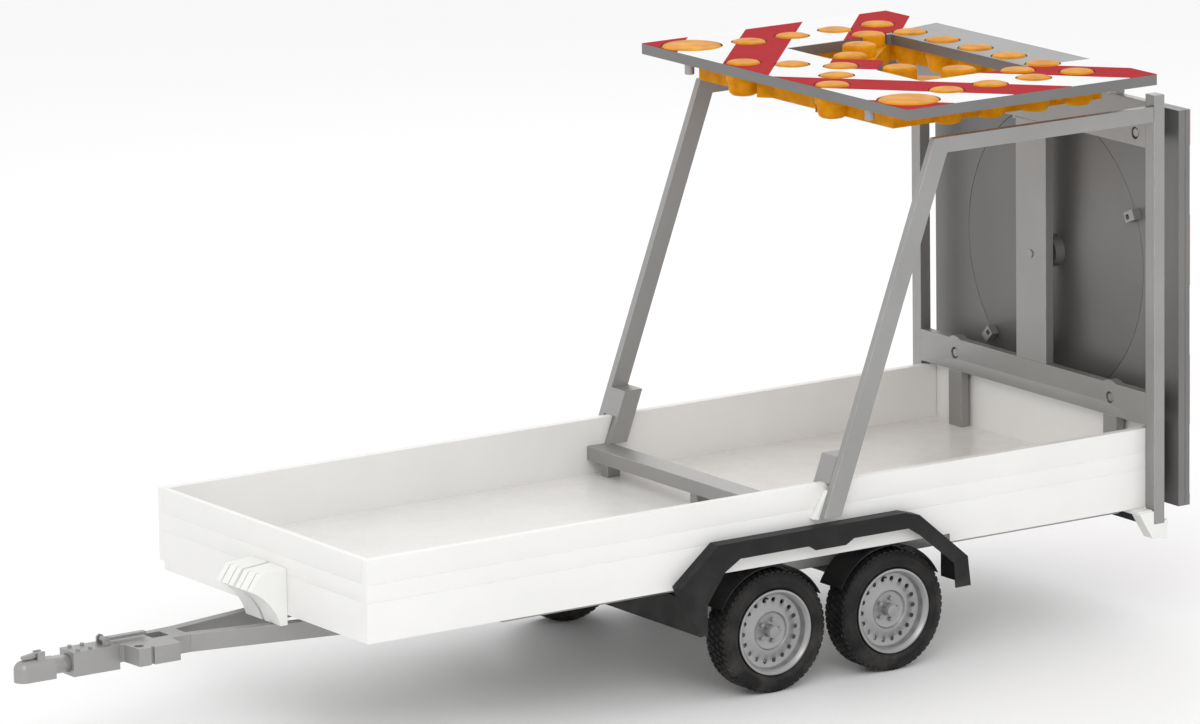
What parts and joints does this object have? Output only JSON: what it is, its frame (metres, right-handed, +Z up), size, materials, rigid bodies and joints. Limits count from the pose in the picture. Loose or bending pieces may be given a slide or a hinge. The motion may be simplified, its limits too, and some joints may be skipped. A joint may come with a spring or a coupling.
{
  "type": "arrow board trailer",
  "caption": "Tandem-axle flatbed trailer with a rear sign panel and a folding board of warning lamps, carried on posts and sloping support arms",
  "frame": {"origin": "on the ground, under the middle of the whole trailer's box", "axes": "+X to the rear along the trailer, -Y to its left side, +Z up"},
  "size_m": [6.332, 2.33, 2.907],
  "materials": {
    "bed_paint": "satin warm white",
    "bed_floor": "smooth white coated plywood",
    "frame_paint": "satin silver grey",
    "axle_paint": "satin black",
    "black_plastic": "satin black",
    "white_plastic": "satin white",
    "bolt_steel": "zinc plated",
    "panel_sheet": "satin silver grey paint",
    "disc_sheet": "reflective blue with a silver grey back",
    "red_film": "retroreflective red",
    "white_film": "retroreflective white",
    "amber_plastic": "translucent amber",
    "lamp_red": "gloss red",
    "tyre": "matt black rubber",
    "rim_paint": "satin silver",
    "hub_steel": "zinc plated"
  },
  "bodies": {
    "trailer": {"base_rails": "bed_paint", "floor_panel": "bed_floor", "front_wall": "bed_paint", "left_wall": "bed_paint", "right_wall": "bed_paint", "tailgate": "bed_paint", "chassis_beams": "frame_paint", "chassis_crossmembers": "frame_paint", "drawbar_arms": "frame_paint", "drawbar_plate": "frame_paint", "overrun_housing": "frame_paint", "axle_beams": "axle_paint", "swing_arms": "axle_paint", "mudguards": "black_plastic", "chock_holder": "bed_paint", "cross_bar": "frame_paint", "hook_frames": "frame_paint", "support_arms": "frame_paint", "posts": "frame_paint", "frame_legs": "frame_paint", "lower_crossmember": "frame_paint", "upper_crossmember": "frame_paint", "centre_member": "frame_paint", "frame_bolts": "bolt_steel", "spacer_bosses": "frame_paint", "wall_brackets": "white_plastic", "sign_panel": "panel_sheet", "sign_stripes": "red_film", "frame_hinge_lugs": "frame_paint", "hinge_pins": "bolt_steel", "tail_lamps": "lamp_red", "disc_pivot": "bolt_steel", "disc_clips": "frame_paint"},
    "board": {"board_panel": "panel_sheet", "board_white_sheet": "white_film", "board_red_stripes": "red_film", "lens_tray": "amber_plastic", "small_lenses": "amber_plastic", "large_lenses": "amber_plastic", "board_hinge_lugs": "frame_paint", "board_pegs": "frame_paint"},
    "disc": {"sign_disc": "disc_sheet"},
    "overrun": {"overrun_shaft": "bolt_steel", "coupling_head": "frame_paint"},
    "coupling_handle": {"coupling_handle": "frame_paint"},
    "handbrake_lever": {"handbrake_lever": "frame_paint"},
    "left_chock": {"left_chock": "white_plastic"},
    "right_chock": {"right_chock": "white_plastic"},
    "left_front_wheel": {"left_front_tyre": "tyre", "left_front_rim": "rim_paint", "left_front_hub": "hub_steel"},
    "right_front_wheel": {"right_front_tyre": "tyre", "right_front_rim": "rim_paint", "right_front_hub": "hub_steel"},
    "left_rear_wheel": {"left_rear_tyre": "tyre", "left_rear_rim": "rim_paint", "left_rear_hub": "hub_steel"},
    "right_rear_wheel": {"right_rear_tyre": "tyre", "right_rear_rim": "rim_paint", "right_rear_hub": "hub_steel"}
  },
  "joints": [
    {"name": "left_front_spin", "type": "hinge", "parent": "trailer", "child": "left_front_wheel", "pos_m": [0.606, -0.9105, 0.31], "axis": [0, 1, 0], "continuous": true},
    {"name": "right_front_spin", "type": "hinge", "parent": "trailer", "child": "right_front_wheel", "pos_m": [0.606, 0.9105, 0.31], "axis": [0, 1, 0], "continuous": true},
    {"name": "left_rear_spin", "type": "hinge", "parent": "trailer", "child": "left_rear_wheel", "pos_m": [1.33, -0.9105, 0.31], "axis": [0, 1, 0], "continuous": true},
    {"name": "right_rear_spin", "type": "hinge", "parent": "trailer", "child": "right_rear_wheel", "pos_m": [1.33, 0.9105, 0.31], "axis": [0, 1, 0], "continuous": true},
    {"name": "board_fold", "type": "hinge", "parent": "trailer", "child": "board", "pos_m": [2.964, 0, 2.799], "axis": [0, 1, 0], "range_deg": [0, 90]},
    {"name": "disc_turn", "type": "hinge", "parent": "trailer", "child": "disc", "pos_m": [3.092, 0, 1.773], "axis": [1, 0, 0], "range_deg": [0, 90]},
    {"name": "overrun_slide", "type": "slide", "parent": "trailer", "child": "overrun", "axis": [1, 0, 0], "range_m": [0, 0.08], "stiffness_N_per_m": 8000, "springref_m": -0.02},
    {"name": "coupling_lift", "type": "hinge", "parent": "overrun", "child": "coupling_handle", "pos_m": [-3.03, 0, 0.562], "axis": [0, 1, 0], "range_deg": [0, 50], "stiffness_Nm_per_rad": 1.5, "springref_deg": -22.92},
    {"name": "handbrake_pull", "type": "hinge", "parent": "trailer", "child": "handbrake_lever", "pos_m": [-2.671, 0, 0.578], "axis": [0, -1, 0], "range_deg": [0, 75]},
    {"name": "left_chock_lift", "type": "slide", "parent": "trailer", "child": "left_chock", "axis": [0, 0, 1], "range_m": [0, 0.15]},
    {"name": "right_chock_lift", "type": "slide", "parent": "trailer", "child": "right_chock", "axis": [0, 0, 1], "range_m": [0, 0.15]}
  ]
}
